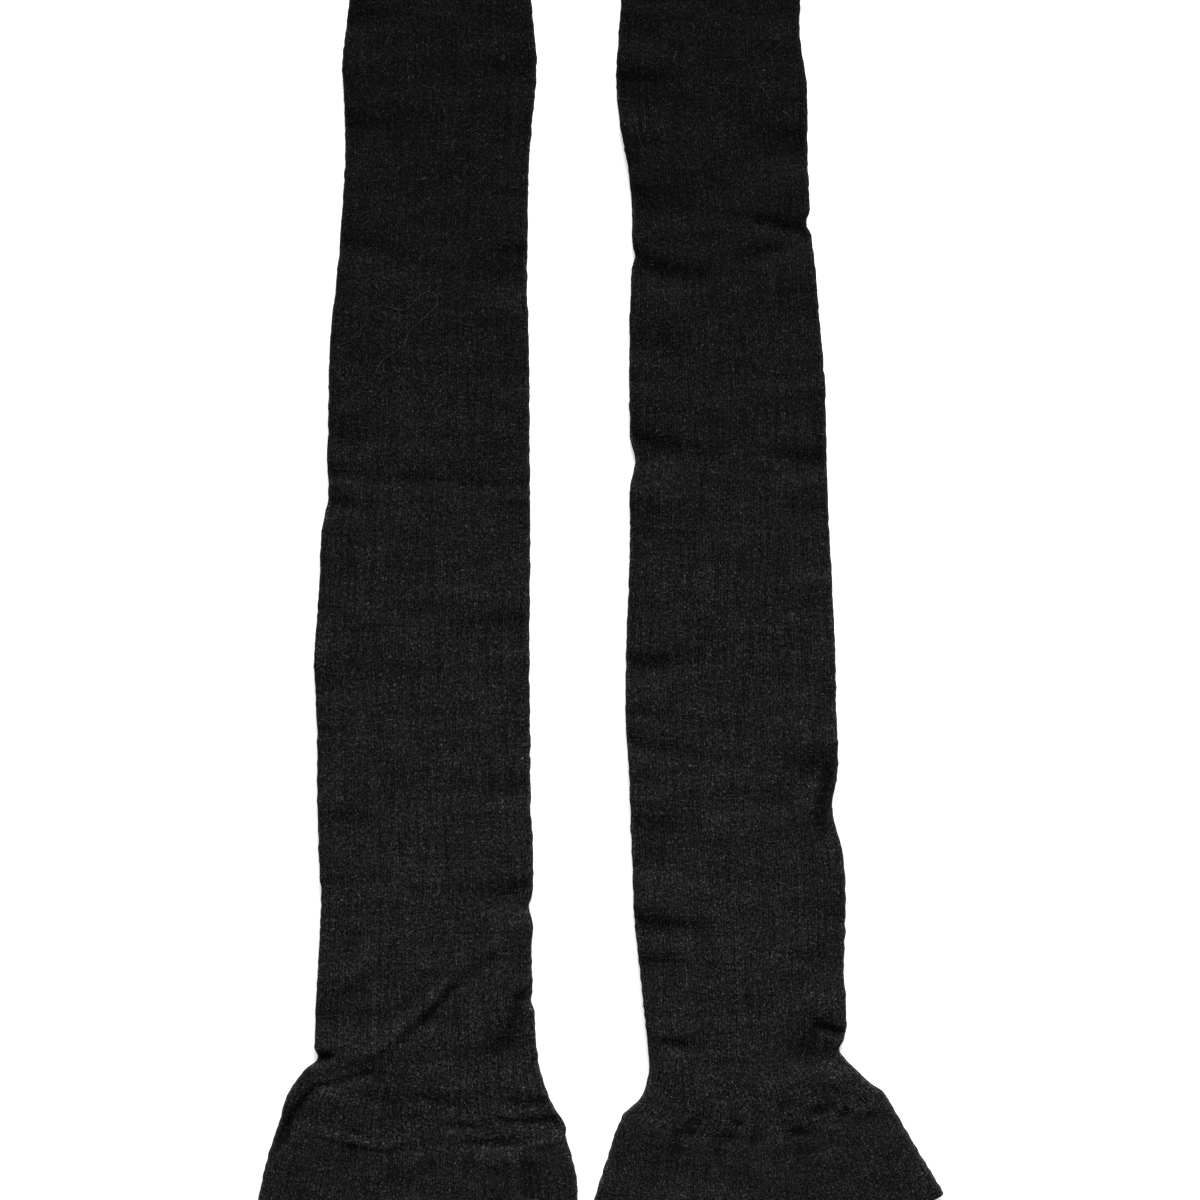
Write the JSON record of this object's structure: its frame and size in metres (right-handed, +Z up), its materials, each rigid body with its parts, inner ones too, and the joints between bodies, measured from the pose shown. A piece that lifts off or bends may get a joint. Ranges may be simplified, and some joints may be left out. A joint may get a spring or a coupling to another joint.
{
  "type": "pair of over-the-calf socks",
  "caption": "Pair of over-the-calf socks in dark ribbed knit, laid flat side by side, each with a flared welt, a long leg, a turned heel and a closed toe.",
  "frame": {"origin": "middle of the pair's outline on the surface that the socks lie on", "axes": "+Z up from the surface, +Y from the welts to the feet, +X towards the right-hand sock"},
  "size_m": [0.5086, 0.6006, 0.0047],
  "materials": {
    "welt_knit": "matte",
    "leg_knit": "matte",
    "foot_knit": "matte",
    "toe_knit": "matte"
  },
  "bodies": {
    "root": {"left_welt": "welt_knit", "left_leg": "leg_knit", "left_foot": "foot_knit", "left_toe": "toe_knit", "right_welt": "welt_knit", "right_leg": "leg_knit", "right_foot": "foot_knit", "right_toe": "toe_knit"}
  },
  "joints": []
}
